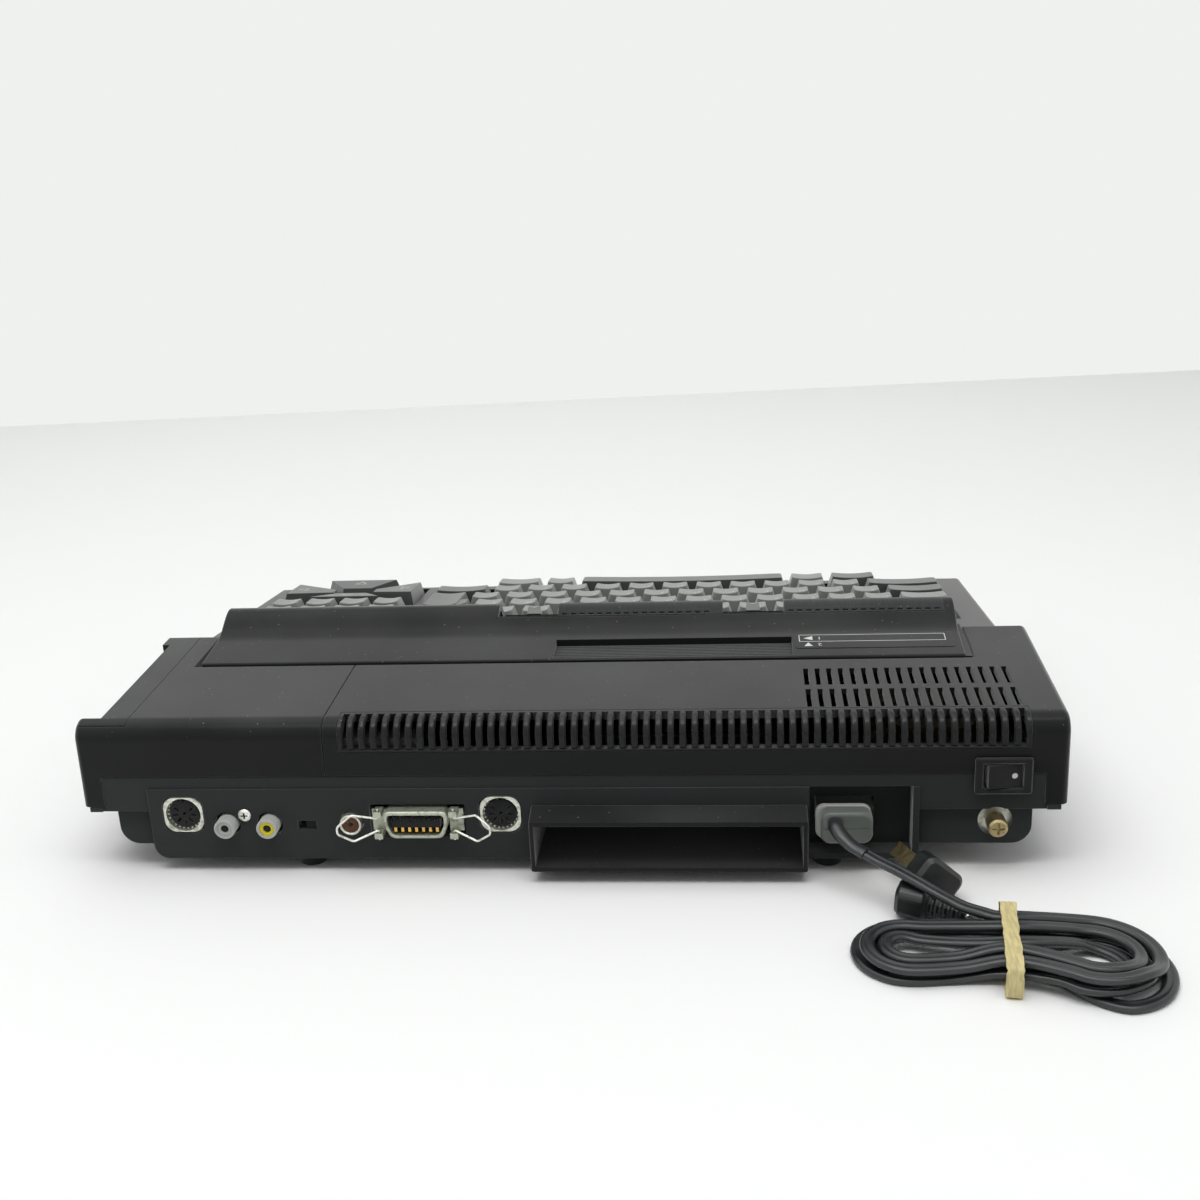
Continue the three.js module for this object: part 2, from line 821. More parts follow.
const keyBlockRight = keyBlockLeft + blockColumns * keyPitch;
const padHalf = (padKeys / 2) * keyPitch;
const wells = [
  [keyBlockLeft - wellMargin, keyBlockRight + wellMargin, blockFrontV - wellMargin, blockRearV + wellMargin],
  [keyBlockLeft + keyPitch - wellMargin, keyBlockRight - keyPitch + wellMargin,
    functionRowV - functionKeyDepth / 2 - wellMargin, functionRowV + functionKeyDepth / 2 + wellMargin],
  [padCentre - padHalf - wellMargin, padCentre + padHalf + wellMargin,
    padRowV - rowPitch / 2 - wellMargin, padRowV + 3.5 * rowPitch + wellMargin],
  [padCentre - cursorHalfWidth - wellMargin, padCentre + cursorHalfWidth + wellMargin,
    cursorV - cursorHalfDepth - wellMargin, padRowV - rowPitch / 2],
];
const platePosts = [
  [-plateHalfWidth + postRadius + seam, 0],
  [-plateHalfWidth + postRadius + seam, 3 * rowPitch],
  [plateHalfWidth - postRadius - seam, 0],
  [plateHalfWidth - postRadius - seam, 3 * rowPitch],
  [(keyBlockRight + padCentre - padHalf) / 2, 0],
  [(keyBlockRight + padCentre - padHalf) / 2, 3 * rowPitch],
];

function keyboardRod(radius, x, v, w0, w1) {
  const geometry = new THREE.CylinderGeometry(radius, radius, w1 - w0, 10);
  geometry.rotateX(Math.PI / 2);
  geometry.translate(x, v, (w0 + w1) / 2);
  geometry.applyMatrix4(keyboard.matrixWorld);
  return solidOf(geometry);
}

const openLeft = bridgeLeft - bridgeGapLeft;
const openRight = bridgeRight + bridgeGapRight;
const openRear = bridgeRear - bridgeGapRear;
const ledgeTop = bridgeSkirt - seam;

function deckVents() {
  const slots = [];
  for (const [rear, front] of deckVentRows) {
    for (let i = 0; i < deckVentCount; i += 1) {
      const right = deckVentFirstX - i * ventPitch;
      slots.push(slab(right - ventSlotWidth, right, rear, front,
        deckRearHeight - 2 * wall, deckHeightAt(deckDepth) + wall));
    }
  }
  return joined(slots);
}

function upperCase() {
  const shell = cutBy(caseBlank, [caseInside]);
  const ledge = cutBy(
    slab(openLeft - wall, openRight + wall, openRear - wall, deckDepth - wall, ledgeTop - ledgeThickness,
      deckRearHeight),
    [
      slab(openLeft + ledgeWidth, openRight - ledgeWidth, openRear + ledgeWidth, deckDepth, 0, clearTop),
      slab(flapLeft - guideThickness - seam, flapRight + guideThickness + seam, bridgeRear - seam,
        deckDepth, 0, clearTop),
      slab(openLeft, openRight, openRear, deckDepth, ledgeTop, clearTop),
    ],
  );
  const posts = platePosts.map(([x, v]) => keyboardRod(postRadius, x, v, seam - plateDrop, -wall / 2));
  return cutBy(joined([shell, ledge, ...posts]), [
    slab(-tailWidth / 2, tailWidth / 2, -overrun, wall + overrun, 0, tailTop),
    slab(openLeft, openRight, openRear, deckDepth + overrun / 2, ledgeTop, clearTop),
    slab(bridgeLeft + bridgeSill, bridgeRight - bridgeSill, openRear + ledgeWidth,
      bridgeFront - bridgeSill, skirtHeight + wall, clearTop),
    ...wells.map((well) => keyboardCut(...well)),
    deckVents(),
    grilleZone(0),
    coverZone(0),
    tailGroove,
    slab(switchX - switchWidth / 2 + wall, switchX + switchWidth / 2 - wall, -overrun, wall + overrun,
      0, switchHeight + switchTall / 2 - wall),
  ]);
}
addPart(computer, 'upper_case', upperCase(), 'caseBlack');

// Vent grille: ribs carried round the rear edge, one slot between each pair
function ventGrille() {
  const inner = polygon([
    [atDepth(rearLean + grilleThickness), -overrun],
    [atDepth(rearLean + grilleThickness), driveTop + seam],
    [atDepth(grilleFront), deckRearHeight - grilleThickness],
    [atDepth(deckDepth), deckRearHeight - grilleThickness],
    [atDepth(deckDepth), -overrun],
  ].reverse());
  const shell = cutBy(caseBlank, [prismX(inner, -halfWidth, halfWidth)]);
  const blank = shell.intersect(grilleZone(seam));
  const slots = [];
  for (let i = 0; i < edgeVentCount; i += 1) {
    const right = edgeVentFirstX - i * ventPitch;
    slots.push(slab(right - ventSlotWidth, right, -overrun, edgeVentDepth, edgeVentBottom, clearTop));
  }
  return cutBy(blank, [joined(slots)]);
}
addPart(computer, 'rear_vent_grille', ventGrille(), 'caseBlack');

// Drive cover: the case's right shoulder, scooped out for the fingers that take the disk
function scoopShape(grow) {
  const shape = new THREE.Shape();
  const top = deckHeightAt(deckDepth) + overrun;
  const low = scoopFloor - grow;
  const left = scoopTopX - grow;
  shape.moveTo(left, top);
  shape.lineTo(left, (deckRearHeight + scoopFloor) / 2);
  shape.quadraticCurveTo(left, low, halfWidth + overrun, low);
  shape.lineTo(halfWidth + overrun, top);
  return shape;
}

function driveCover() {
  const scoop = prismY(scoopShape(0), atDepth(scoopFront), atDepth(scoopRear), 5);
  const liner = prismY(scoopShape(wall), atDepth(scoopFront + wall), atDepth(scoopRear - wall), 5);
  const slotHalf = diskSlotWidth / 2;
  return cutBy(caseBlank.intersect(coverZone(seam)), [
    caseInside.subtract(liner),
    scoop,
    slab(driveRight, halfWidth + overrun, diskSlotCentre - slotHalf, diskSlotCentre + slotHalf,
      diskSlotLevel - diskSlotHeight / 2, diskSlotLevel + diskSlotHeight / 2),
    slab(driveRight, halfWidth + overrun, ejectCentre - ejectWidth / 2 - seam,
      ejectCentre + ejectWidth / 2 + seam, ejectLevel - ejectHeight / 2 - seam,
      ejectLevel + ejectHeight / 2 + seam),
  ]);
}
addPart(computer, 'drive_cover', driveCover(), 'caseBlack');

// Under-case: a tray with a deeper pan, the tail wall and the recessed mains bay
const boardFrontBoss = boardFront - bossInset;
const boardMiddleBoss = shroudInside + bossInset;
const panBosses = [
  [shroudRight + bossInset, boardRear + bossInset],
  [boardRight - bossInset, boardMiddleBoss],
  [shroudRight + bossInset, boardFrontBoss],
  [boardRight - bossInset, boardFrontBoss],
  [shroudLeft + bossInset, boardFrontBoss],
  [shroudLeft + bossInset, boardMiddleBoss],
];
const traySupports = [powerBoardLeft, powerBoardRight - 2 * supportInset].flatMap((x) => (
  [powerBoardRear, powerBoardFront - 2 * supportInset].map((depth) => (
    [x + supportInset, depth + supportInset]))));
const driveBosses = [driveLeft + driveBossInset, driveRight - driveBossInset].flatMap((x) => (
  [driveRear + driveBossInset, driveFront - driveBossInset].map((depth) => [x, depth])));

function underCase() {
  const flangeTop = (depth) => (depth <= deckDepth ? skirtHeight
    : skirtHeight + ((frontSkirtHeight - skirtHeight) * (depth - deckDepth)) / (caseDepth - deckDepth)) - seam;
  const frontEdge = caseDepth - seam;
  const flange = polygon([
    [atDepth(0), flangeTop(0) - flangeThickness],
    [atDepth(0), flangeTop(0)],
    [atDepth(deckDepth), flangeTop(deckDepth)],
    [atDepth(frontEdge), flangeTop(frontEdge)],
    [atDepth(frontEdge), flangeTop(frontEdge) - flangeThickness],
    [atDepth(deckDepth), flangeTop(deckDepth) - flangeThickness],
  ]);
  const below = polygon([
    [atDepth(0), 0],
    [atDepth(0), flangeTop(0)],
    [atDepth(deckDepth), flangeTop(deckDepth)],
    [atDepth(caseDepth), flangeTop(caseDepth)],
    [atDepth(caseDepth), 0],
  ]);
  const clip = prismX(below, -halfWidth, halfWidth);
  const halfTray = trayWidth / 2;
  const tray = prismY(troughShape(-halfTray, halfTray, trayBottom, tailTop, trayRadius),
    atDepth(trayFront), atDepth(traySetback));
  const pan = prismY(troughShape(panLeft, panRight, panBottom, tailTop, panRadius),
    atDepth(panFront), atDepth(0));
  const tail = slab(seam - tailWidth / 2, tailWidth / 2 - seam, 0, wall,
    flangeTop(0) - flangeThickness, tailTop - seam);
  const trayCavity = prismY(
    troughShape(wall - halfTray, halfTray - wall, trayBottom + wall, clearTop, trayRadius - wall),
    atDepth(trayFront - wall), atDepth(traySetback + wall));
  const panCavity = prismY(
    troughShape(panLeft + wall, panRight - wall, panBottom + wall, clearTop, panRadius - wall),
    atDepth(panFront - wall), atDepth(wall));
  const bay = slab(bayLeft - wall, bayRight + wall / 2, 0, bayDepth + wall,
    panBottom + wall / 2, bayTop + wall);
  const shell = cutBy(
    joined([prismX(flange, edgeRadius - halfWidth, halfWidth - edgeRadius),
      tray.intersect(clip), pan.intersect(clip)]),
    [trayCavity, panCavity],
  );
  const bosses = [
    ...panBosses.map(([x, depth]) => rodZ(bossRadius, x, atDepth(depth), panBottom + wall / 2,
      boardBottom - seam, 8)),
    ...traySupports.map(([x, depth]) => rodZ(bossRadius, x, atDepth(depth), panBottom + wall / 2,
      boardBottom - seam, 8)),
    ...driveBosses.map(([x, depth]) => rodZ(driveBossRadius, x, atDepth(depth), panBottom + wall / 2,
      driveBottom - seam, 8)),
  ];
  const whole = joined([shell, tail, bay, ...bosses]);
  const dinHole = (x) => prismY(
    roundedRect(dinWidth + 2 * seam, dinTall + 2 * seam, dinRadius, x, dinHeight),
    atDepth(wall + overrun), atDepth(-overrun), 3);
  return cutBy(whole, [
    slab(bayLeft, bayRight, -overrun, bayDepth, bayBottom, bayTop),
    slab(inletX - inletBodyWidth / 2 - seam, inletX + inletBodyWidth / 2 + seam, 0, bayDepth + overrun,
      inletHeight - inletBodyTall / 2 - seam, inletHeight + inletBodyTall / 2 + seam),
    slab(shroudLeft - seam, shroudRight + seam, -overrun, shroudInside + seam, 0, shroudTop + seam),
    dinHole(dinXs.rgb),
    dinHole(dinXs.tape),
    rodY(phonoHoleRadius, phonoXs.audio, phonoHeight, atDepth(wall + overrun), atDepth(-overrun)),
    rodY(phonoHoleRadius, phonoXs.video, phonoHeight, atDepth(wall + overrun), atDepth(-overrun)),
    rodY(rfRadius + 2 * seam, rfX, rfHeight, atDepth(wall + overrun), atDepth(-overrun)),
    slab(channelX - channelWindowWidth / 2, channelX + channelWindowWidth / 2, -overrun, wall + skinProud,
      channelHeight - channelWindowHeight / 2, channelHeight + channelWindowHeight / 2),
    slab(printerX - printerBracketWidth / 2 - seam, printerX + printerBracketWidth / 2 + seam,
      -overrun, wall + skinProud,
      printerHeight - printerBracketHeight / 2 - seam, printerHeight + printerBracketHeight / 2 + seam),
    rodY(earthHoleRadius, earthX, earthHeight, atDepth(traySetback + wall + skinProud), atDepth(-overrun)),
    slab(switchX - switchWidth / 2 + wall, switchX + switchWidth / 2 - wall, -overrun, wall + skinProud,
      switchHeight - switchTall / 2 + wall, clearTop),
  ]);
}
addPart(computer, 'under_case', underCase(), 'casePanel');

// Rubber feet under the pan
const footPlaces = {
  foot_rear_left: [-footX, footDepthRear],
  foot_rear_right: [footX, footDepthRear],
  foot_front_left: [-footX, footDepthFront],
  foot_front_right: [footX, footDepthFront],
};
for (const [name, [x, depth]] of Object.entries(footPlaces)) {
  const profile = [
    new THREE.Vector2(0, 0),
    new THREE.Vector2(footRadius * (1 - footChamferShare), 0),
    new THREE.Vector2(footRadius, footRadius * footChamferShare),
    new THREE.Vector2(footRadius, panBottom - seam),
    new THREE.Vector2(0, panBottom - seam),
  ];
  const foot = new THREE.LatheGeometry(profile, 16);
  foot.rotateX(Math.PI / 2);
  addPart(computer, name, foot, 'rubber', [x, atDepth(depth), 0]);
}

// Bridge: the raised hood across the deck that holds the upper cartridge slot
function bridgeOutline(inset, open) {
  const shape = new THREE.Shape();
  const y = (depth) => atDepth(depth);
  const low = open ? 0 : bridgeSkirt;
  const rear = bridgeRear + inset;
  shape.moveTo(y(rear), low);
  shape.lineTo(y(rear), bridgeRimHeight - bridgeRimRadius - inset);
  shape.lineTo(y(rear + bridgeRimRadius), bridgeRimHeight - inset);
  shape.lineTo(y(bridgeFlatEnd), bridgeFlatHeight - inset);
  shape.quadraticCurveTo(y((bridgeFlatEnd + bridgeSweepEnd) / 2), bridgeFlatHeight - inset + bridgeSweepRise,
    y(bridgeSweepEnd), bridgeSweepHeight - inset);
  shape.quadraticCurveTo(y(crestDepth - crestRun), crestHeight - inset, y(crestDepth), crestHeight - inset);
  shape.quadraticCurveTo(y(crestDepth + crestRun), crestHeight - inset,
    y(browDepth - inset / 2), browHeight - inset);
  shape.lineTo(y(bridgeFront - inset * bridgeFrontShare), keyDeckAt(bridgeFront) + seam);
  if (open) {
    shape.lineTo(y(bridgeFront - inset * bridgeFrontShare), 0);
  } else {
    const heel = deckDepth + overrun / 2;
    shape.lineTo(y(heel), keyDeckAt(heel) + seam);
    shape.lineTo(y(heel), bridgeSkirt);
  }
  return shape;
}

const bridgeBlank = prismX(bridgeOutline(0, false), bridgeLeft, bridgeRight, 5);
const panelZone = (gap) => slab(panelLeft + gap, panelRight - gap, panelRear + gap,
  bridgeFront - panelFoot - gap, 0, clearTop);
const notches = () => joined(notchXs.map((x) => slab(x - notchWidth / 2, x + notchWidth / 2,
  panelRear - overrun, browDepth + overrun, notchFloor, clearTop)));
const flapHingeY = atDepth(flapRear + flapHingeSetback);
const flapHingeZ = flapTop - flapHingeDrop;

function inBrow(geometry) {
  geometry.applyMatrix4(brow.matrixWorld);
  return solidOf(geometry);
}

function browBox(x, v, width, length, low, high) {
  const box = new THREE.BoxGeometry(width, length, high - low);
  box.translate(x, v, (low + high) / 2);
  return inBrow(box);
}

const sliderSlots = () => notchXs.map((x) => browBox(x, -sliderDrop,
  2 * sliderTravel + sliderStemWidth + 2 * seam, sliderSlotWidth, -overrun * 3, overrun));
const pauseHole = () => browBox(pauseX, -pauseDrop, pauseWidth + 2 * seam, pauseDepth + 2 * seam,
  -overrun * 3, overrun);

function bridge() {
  const hollow = prismX(bridgeOutline(bridgeWall, true), bridgeLeft + bridgeWall, bridgeRight - bridgeWall, 4);
  const rebate = cutBy(panelZone(0),
    [prismX(bridgeOutline(panelThickness + seam, true), -halfWidth, halfWidth, 5)]);
  const cheek = (x0, x1) => slab(x0, x1, bridgeRear, flapFront + guideThickness, guideBottom, flapTop);
  const cheeks = [cheek(flapRight, flapRight + guideThickness), cheek(flapLeft - guideThickness, flapLeft)];
  const guides = [
    slab(flapLeft - guideThickness, flapRight + guideThickness, flapFront,
      flapFront + guideThickness, guideBottom, flapTop),
    slab(flapLeft - guideThickness, flapRight + guideThickness, bridgeRear, flapRear, guideBottom, flapTop),
  ];
  return cutBy(joined([cutBy(bridgeBlank, [hollow]), ...cheeks, ...guides]), [
    rebate,
    notches(),
    slab(flapLeft, flapRight, flapRear, flapFront, 0, clearTop),
    rodX(flapPinRadius + pinClearance, flapHingeY, flapHingeZ, flapLeft - guideThickness - overrun,
      flapRight + guideThickness + overrun),
    ...sliderSlots(),
    pauseHole(),
  ]);
}
addPart(computer, 'bridge', bridge(), 'caseBlack');

// Control panel set into the brow, with its two notches and a row of slits behind the crest
function controlPanel() {
  const skin = bridgeBlank.intersect(panelZone(seam));
  const slits = [];
  const slitRear = panelRear + grilleSlitSetback;
  for (const notchX of notchXs) {
    for (let i = 0; i < grilleSlitCount; i += 1) {
      const x = notchX - grilleSlitGap - i * grilleSlitPitch;
      slits.push(slab(x - grilleSlitLength / 2, x + grilleSlitLength / 2, slitRear, slitRear + grilleSlitWidth,
        bridgeSweepHeight + grilleSlitSetback - grilleSlitDepth, clearTop));
    }
  }
  return cutBy(skin, [
    prismX(bridgeOutline(panelThickness, true), -halfWidth, halfWidth, 5),
    notches(),
    joined(slits),
    ...sliderSlots(),
    pauseHole(),
  ]);
}
addPart(computer, 'control_panel', controlPanel(), 'casePanel');

// Slider knobs and the pause button, built square to the brow
function sliderKnob() {
  const half = sliderKnobWidth / 2;
  const ridge = polygon([[-half, 0], [half, 0], [half * sliderCrestShare, sliderKnobHeight],
    [0, sliderKnobHeight * sliderCrestShare], [-half * sliderCrestShare, sliderKnobHeight]]);
  const cap = prismY(ridge, -sliderKnobDepth / 2, sliderKnobDepth / 2);
  const stem = block(-sliderStemWidth / 2, sliderStemWidth / 2, -sliderSlotWidth / 2 + seam,
    sliderSlotWidth / 2 - seam, -sliderStemDepth, sliderKnobHeight / 4);
  return cap.add(stem);
}
const sliderNames = ['speed_slider', 'rapid_fire_slider'];
sliderNames.forEach((name, i) => {
  addPart(brow, name, sliderKnob(), 'keyGrey', [notchXs[i], -sliderDrop, seam]);
});
addPart(brow, 'pause_button',
  prismZ(roundedRect(pauseWidth, pauseDepth, pauseDepth / 5), -overrun, pauseProud, 2), 'keyDark',
  [pauseX, -pauseDrop, 0]);

// Flap that closes the upper slot; it hinges on two pins at its rear edge and swings down
function slotFlap() {
  const pinEnd = flapPinLength + seam;
  const leaf = block(flapLeft + seam, flapRight - seam, atDepth(flapFront) + seam,
    flapHingeY + flapTail, flapTop - flapThickness, flapTop);
  const grip = prismX(polygon([
    [atDepth(flapFront) + seam, flapTop - flapThickness],
    [atDepth(flapFront) + flapThickness, flapTop - flapThickness],
    [atDepth(flapFront) + seam, flapTop - 2 * flapThickness],
  ]), flapLeft + overrun, flapRight - overrun);
  return joined([
    leaf,
    grip.subtract(block(flapLeft, flapRight, atDepth(flapFront), atDepth(flapRear), flapTop, clearTop)),
    rodX(flapPinRadius, flapHingeY, flapHingeZ, flapLeft + seam - pinEnd, flapRight - seam + pinEnd, 12),
  ]);
}
addPart(computer, 'slot_flap', slotFlap(), 'casePanel');

// Rear slot shroud: the hood that stands out of the panel and the tunnel behind it
function slotShroud() {
  const outside = polygon([
    [atDepth(0) + seam, shroudBottom],
    [rearY + shroudProud, shroudBottom],
    [rearY + shroudProud, shroudTop],
    [atDepth(0) + seam, shroudHoodTop],
  ]);
  const tunnel = slab(shroudLeft, shroudRight, -seam, shroudInside, shroudBottom, shroudTop);
  const bore = slab(shroudLeft + shroudWall, shroudRight - shroudWall, -shroudProud - overrun,
    shroudInside + overrun, shroudBottom + shroudWall, shroudTop - shroudWall);
  return prismX(outside, shroudLeft, shroudRight).add(tunnel).subtract(bore);
}
addPart(computer, 'rear_slot_shroud', slotShroud(), 'caseBlack');

// Main board, notched round the rear slot's tunnel and drilled for the drive's bosses
function mainBoard() {
  const blank = slab(boardLeft, boardRight, boardRear, boardFront, boardBottom, boardTop);
  const slotEdge = shroudInside + boardSlotGap;
  return cutBy(blank, [
    slab(boardLeft - overrun, shroudRight + boardLeftInset, boardRear - overrun, slotEdge, 0, clearTop),
    ...driveBosses.filter(([x]) => x < boardRight - driveBossRadius).map(([x, depth]) =>
      rodZ(driveBossRadius + 2 * seam, x, atDepth(depth), 0, clearTop, 8)),
  ]);
}
addPart(computer, 'main_board', mainBoard(), 'board');

// Edge connectors of the two cartridge slots: a long block with a mouth for the cartridge's board
const slotX = (shroudLeft + shroudRight) / 2;
const cartridgeLevel = boardBottom + boardThickness / 2;
function slotConnector(length, height, mouth) {
  const body = block(-slotContactWidth / 2, slotContactWidth / 2, -length / 2, length / 2, 0, height);
  return body.subtract(mouth);
}
const topContact = slotConnector(slotContactDepth, slotContactHeight,
  block(-slotMouthWidth / 2, slotMouthWidth / 2, -slotMouth / 2, slotMouth / 2,
    slotContactHeight / 4, slotContactHeight + overrun));
addPart(computer, 'upper_slot_connector', topContact, 'contactBlack',
  [(flapLeft + flapRight) / 2, atDepth((flapRear + flapFront) / 2), boardTop + seam]);
const rearContact = slotConnector(slotContactDepth, slotContactHeight,
  block(-slotMouthWidth / 2, slotMouthWidth / 2, -slotContactDepth / 4, slotContactDepth,
    slotContactHeight / 2 - slotMouth / 2, slotContactHeight / 2 + slotMouth / 2));
addPart(computer, 'rear_slot_connector', rearContact, 'contactBlack',
  [slotX, atDepth(shroudInside + boardSlotGap - seam - slotContactDepth / 2),
    cartridgeLevel - slotContactHeight / 2]);

// Disk drive: a closed unit with its disk mouth and a pocket for the eject button
function diskDrive() {
  const slotHalf = diskSlotWidth / 2;
  return cutBy(slab(driveLeft, driveRight, driveRear, driveFront, driveBottom, driveTop), [
    slab(driveRight - driveSlotDeep, driveRight + overrun, diskSlotCentre - slotHalf,
      diskSlotCentre + slotHalf, diskSlotLevel - diskSlotHeight / 2, diskSlotLevel + diskSlotHeight / 2),
    slab(driveRight - ejectTravel - overrun / 2, driveRight + overrun,
      ejectCentre - ejectWidth / 2 - seam, ejectCentre + ejectWidth / 2 + seam,
      ejectLevel - ejectHeight / 2 - seam, ejectLevel + ejectHeight / 2 + seam),
  ]);
}
addPart(computer, 'disk_drive', diskDrive(), 'steel');

// Eject button beside the disk slot
const ejectShape = roundedRect(ejectWidth, ejectHeight, ejectHeight / 5,
  atDepth(ejectCentre), ejectLevel);
addPart(computer, 'eject_button',
  prismX(ejectShape, driveRight + seam, driveRight + seam + ejectReach, 2), 'keyDark');

// Round sockets: a metal shell with a black core and its pin holes
function dinSocket() {
  const front = atDepth(seam);
  const back = atDepth(dinBodyDepth);
  const bodyLow = boardTop + seam - dinHeight;
  const shell = prismY(roundedRect(dinWidth, dinTall, dinRadius), back, front, 3);
  const base = block(-dinWidth / 2, dinWidth / 2, back, atDepth(wall + dinFloor), bodyLow, 0);
  const ring = rodY(dinBoreRadius, 0, 0, atDepth(dinBoreDepth), rearY + overrun, 16);
  const core = rodY(dinCoreRadius, 0, 0, atDepth(dinBoreDepth + dinFloor), atDepth(seam + dinCoreRecess), 16);
  const pins = [];
  for (let i = 0; i < dinPinCount; i += 1) {
    const angle = Math.PI * (dinArcShares[0] + (dinArcShares[1] * i) / (dinPinCount - 1));
    pins.push(rodY(dinPinRadius, dinPinCircle * Math.cos(angle), -dinPinCircle * Math.sin(angle),
      atDepth(dinBoreDepth - dinFloor), rearY, 4));
  }
  pins.push(rodY(dinPinRadius, 0, 0, atDepth(dinBoreDepth - dinFloor), rearY, 4));
  return shell.add(base).subtract(ring).add(core).subtract(joined(pins));
}
for (const [name, x] of Object.entries(dinXs)) {
  addPart(computer, `${name}_socket`, dinSocket(), 'steel', [x, 0, dinHeight]);
}

// Phono jacks: a barrel that stands out of its hole, on a block on the board
function phonoJack() {
  const barrel = rodY(phonoRadius, 0, 0, atDepth(wall + barrelLap), rearY + phonoProud, 16);
  const body = block(-phonoBodyWidth / 2, phonoBodyWidth / 2, atDepth(wall + seam + phonoBodyDepth),
    atDepth(wall + seam), boardTop + seam - phonoHeight, phonoRadius + phonoBodyRise);
  const bore = rodY(phonoBoreRadius, 0, 0, atDepth(wall + phonoBodyDepth / 2),
    rearY + phonoProud + overrun, 12);
  return barrel.add(body).subtract(bore);
}
addPart(computer, 'audio_jack', phonoJack(), 'inletPale', [phonoXs.audio, 0, phonoHeight]);
addPart(computer, 'video_jack', phonoJack(), 'yellow', [phonoXs.video, 0, phonoHeight]);

// Aerial jack on its tin can
function aerialJack() {
  const barrel = rodY(rfRadius, 0, 0, atDepth(wall + barrelLap), rearY + rfProud, 16);
  const can = block(-rfCanWidth / 2, rfCanWidth / 2, atDepth(wall + seam + rfCanDepth),
    atDepth(wall + seam), boardTop + seam - rfHeight, boardTop + seam - rfHeight + rfCanHeight);
  const bore = rodY(phonoBoreRadius, 0, 0, atDepth(wall + rfCanDepth / 4), rearY + rfProud + overrun, 12);
  return barrel.add(can).subtract(bore);
}
addPart(computer, 'aerial_jack', aerialJack(), 'steel', [rfX, 0, rfHeight]);

// Channel switch: the body behind its window and the slider in it
function channelSwitch() {
  const low = boardTop + seam - channelHeight;
  const high = channelWindowHeight / 2 + channelBodyRise;
  const body = block(-channelBodyWidth / 2, channelBodyWidth / 2,
    atDepth(wall + seam + channelBodyDepth), atDepth(wall + seam), low, high);
  const track = block(-channelTravel / 2 - channelKnobWidth / 2 - seam,
    channelTravel / 2 + channelKnobWidth / 2 + seam, atDepth(wall + seam + channelBodyDepth / 2),
    atDepth(0), seam - channelWindowHeight / 2, channelWindowHeight / 2 - seam);
  return body.subtract(track);
}
addPart(computer, 'channel_switch', channelSwitch(), 'contactBlack', [channelX, 0, channelHeight]);
const channelKnob = block(-channelKnobWidth / 2, channelKnobWidth / 2,
  atDepth(wall + channelBodyDepth / 2), atDepth(wall / 2),
  2 * seam - channelWindowHeight / 2, channelWindowHeight / 2 - 2 * seam);
addPart(computer, 'channel_slider', channelKnob, 'keyGrey',
  [channelX - channelTravel / 2, 0, channelHeight]);

// Printer socket: bracket, D-shaped shell, contact tongue and the ears of its two bails
function printerShell(width, height, y0, y1) {
  const half = width / 2;
  const outline = polygon([
    [-half, height / 2], [half, height / 2], [half, 0], [half * printerFootShare, -height / 2],
    [-half * printerFootShare, -height / 2], [-half, 0],
  ]);
  return prismY(polygon(outline.getPoints().reverse().map((p) => [p.x, p.y])), y0, y1);
}

function printerSocket() {
  const plateFront = atDepth(seam);
  const bracket = block(-printerBracketWidth / 2, printerBracketWidth / 2, atDepth(wall), plateFront,
    -printerBracketHeight / 2, printerBracketHeight / 2);
  const body = block(printerBodyInset - printerBracketWidth / 2, printerBracketWidth / 2 - printerBodyInset,
    atDepth(printerBodyDepth), atDepth(wall / 2), boardTop + seam - printerHeight, printerShellHeight / 2);
  const rim = printerShell(printerShellWidth, printerShellHeight, atDepth(wall), rearY + printerProud);
  const mouth = printerShell(printerShellWidth - 2 * printerRim, printerShellHeight - 2 * printerRim,
    atDepth(printerBodyDepth / 2), rearY + printerProud + overrun);
  const tongue = block(printerTongueInset - printerShellWidth / 2, printerShellWidth / 2 - printerTongueInset,
    atDepth(printerBodyDepth / 2 + printerTongueSink), rearY + printerProud - printerTongueSink,
    -printerTongueHeight / 2,
    printerTongueHeight / 2);
  const ears = [];
  for (const side of [-1, 1]) {
    for (const level of [-1, 1]) {
      const middle = level * (bailRootHalf + bailWire + earClearance + earHeight / 2);
      const ear = block(side * earSpan - earWidth / 2, side * earSpan + earWidth / 2, atDepth(wall / 2),
        rearY + earProud + earWidth / 2, middle - earHeight / 2, middle + earHeight / 2);
      ears.push(ear.subtract(rodZ(bailWire + pinClearance, side * earSpan, rearY + earProud,
        middle - earHeight, middle + earHeight, 8)));
    }
  }
  return joined([bracket, body, rim]).subtract(mouth).add(tongue).add(joined(ears));
}
addPart(computer, 'printer_socket', printerSocket(), 'steel', [printerX, 0, printerHeight]);

// Wire bails that clip over the printer plug. The root of each turns in the holes of two ears.
function bail(side) {
  const at = (reach, height) => new THREE.Vector3(
    side * reach * Math.cos(bailSplay), reach * Math.sin(bailSplay), height);
  const rootEnd = bailRootHalf + bailWire + earClearance + earHeight;
  const loop = [
    at(0, bailRootHalf), at(bailKneeReach, bailKneeHalf), at(bailReach, bailTipHalf),
    at(bailReach, -bailTipHalf), at(bailKneeReach, -bailKneeHalf), at(0, -bailRootHalf),
  ];
  const plane = new THREE.Vector3(-side * Math.sin(bailSplay), Math.cos(bailSplay), 0);
  const wire = ovalSection(2 * bailWire, 2 * bailWire, 6);
  return solidOf(tubeThrough(loop, () => wire, plane)).add(rodZ(bailWire, 0, 0, -rootEnd, rootEnd, 6));
}
addPart(computer, 'printer_bail_right', bail(1), 'steel',
  [printerX + earSpan, rearY + earProud, printerHeight]);
